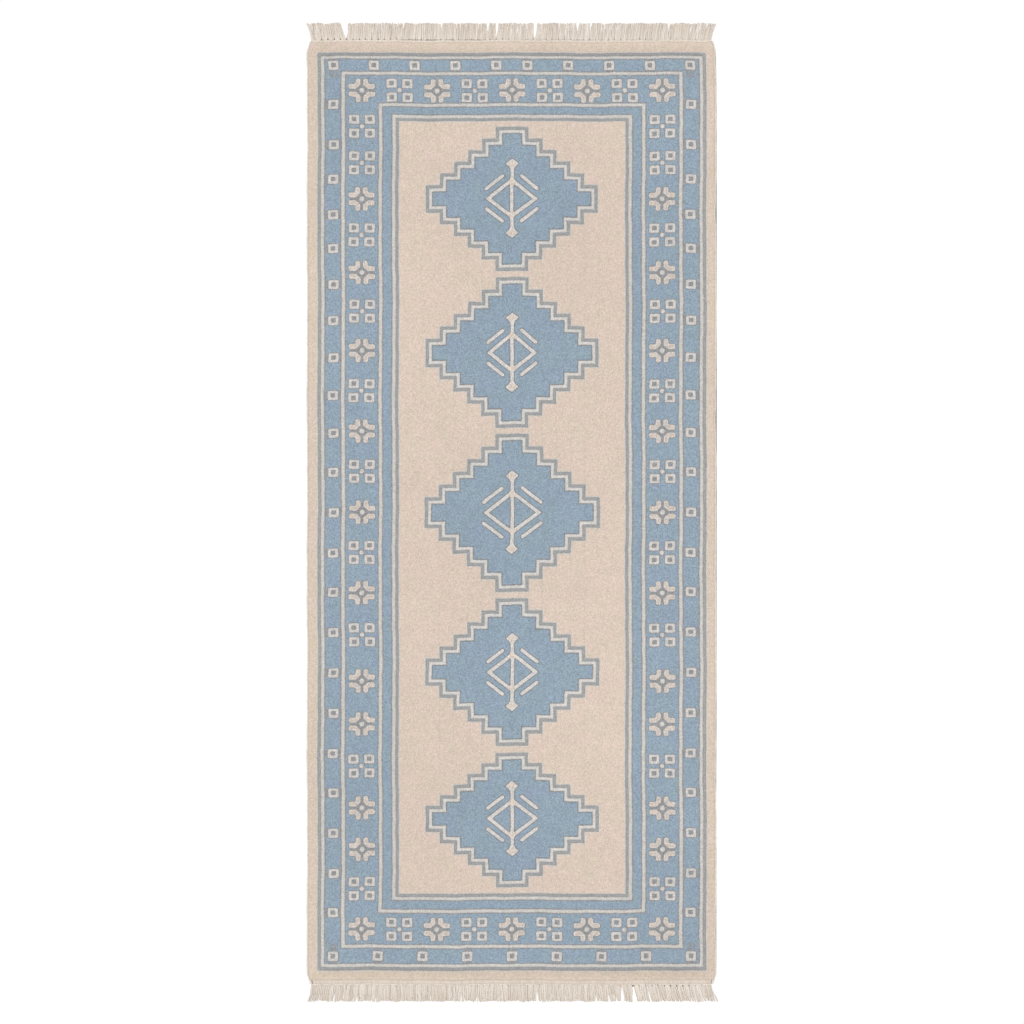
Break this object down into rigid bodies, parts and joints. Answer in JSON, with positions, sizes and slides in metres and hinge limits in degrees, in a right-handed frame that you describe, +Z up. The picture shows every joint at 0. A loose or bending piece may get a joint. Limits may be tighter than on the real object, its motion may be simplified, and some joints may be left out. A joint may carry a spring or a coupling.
{
  "type": "runner rug",
  "caption": "Long narrow cut-pile runner rug with stepped medallions on a pale field, banded borders, overcast sides and yarn-fringed ends; lies flat on the floor.",
  "frame": {"origin": "on the floor, under the middle of the rug", "axes": "+Y along the rug towards its far fringe, +X across its width, +Z up out of the pile"},
  "size_m": [0.762, 1.82, 0.01],
  "materials": {
    "pile_beige": "short cut wool-look pile, matte",
    "pile_blue": "short cut wool-look pile, matte",
    "pile_grey": "short cut wool-look pile, matte",
    "pile_ivory": "short cut wool-look pile, matte",
    "fringe_yarn": "plied cotton yarn, matte",
    "hem_tape": "woven cotton tape, matte",
    "overcast_yarn": "overcast yarn wrap, matte",
    "cotton_cord": "twisted cotton cord",
    "foundation_weave": "plain weave of jute and cotton",
    "latex_coat": "thin brushed latex, satin"
  },
  "bodies": {
    "rug": {"woven_foundation": "foundation_weave", "latex_back_coat": "latex_coat", "side_binding_left": "overcast_yarn", "side_binding_right": "overcast_yarn", "edge_cord_left": "cotton_cord", "edge_cord_right": "cotton_cord", "end_hem_far": "hem_tape", "end_hem_near": "hem_tape", "fringe_header_far": "fringe_yarn", "fringe_header_near": "fringe_yarn", "pile_edge_band": "pile_beige", "pile_outer_outline": "pile_grey", "pile_outer_ivory_line": "pile_ivory", "pile_guard_band": "pile_blue", "pile_guard_ivory_line": "pile_ivory", "pile_main_band": "pile_blue", "pile_main_ivory_line": "pile_ivory", "pile_inner_band": "pile_blue", "pile_inner_ivory_line": "pile_ivory", "pile_inner_outline": "pile_grey", "pile_field": "pile_beige", "medallion_1_outline": "pile_grey", "medallion_1_ivory_line": "pile_ivory", "medallion_1_ground": "pile_blue", "medallion_1_emblem": "pile_ivory", "medallion_2_outline": "pile_grey", "medallion_2_ivory_line": "pile_ivory", "medallion_2_ground": "pile_blue", "medallion_2_emblem": "pile_ivory", "medallion_3_outline": "pile_grey", "medallion_3_ivory_line": "pile_ivory", "medallion_3_ground": "pile_blue", "medallion_3_emblem": "pile_ivory", "medallion_4_outline": "pile_grey", "medallion_4_ivory_line": "pile_ivory", "medallion_4_ground": "pile_blue", "medallion_4_emblem": "pile_ivory", "medallion_5_outline": "pile_grey", "medallion_5_ivory_line": "pile_ivory", "medallion_5_ground": "pile_blue", "medallion_5_emblem": "pile_ivory"},
    "fringe_far_body": {"fringe_far": "fringe_yarn"},
    "fringe_near_body": {"fringe_near": "fringe_yarn"}
  },
  "joints": [
    {"name": "fringe_far_fold", "type": "hinge", "parent": "rug", "child": "fringe_far_body", "pos_m": [0, 0.88295, 0.003], "axis": [1, 0, 0], "range_deg": [0, 120]},
    {"name": "fringe_near_fold", "type": "hinge", "parent": "rug", "child": "fringe_near_body", "pos_m": [0, -0.88295, 0.003], "axis": [-1, 0, 0], "range_deg": [0, 120]}
  ]
}
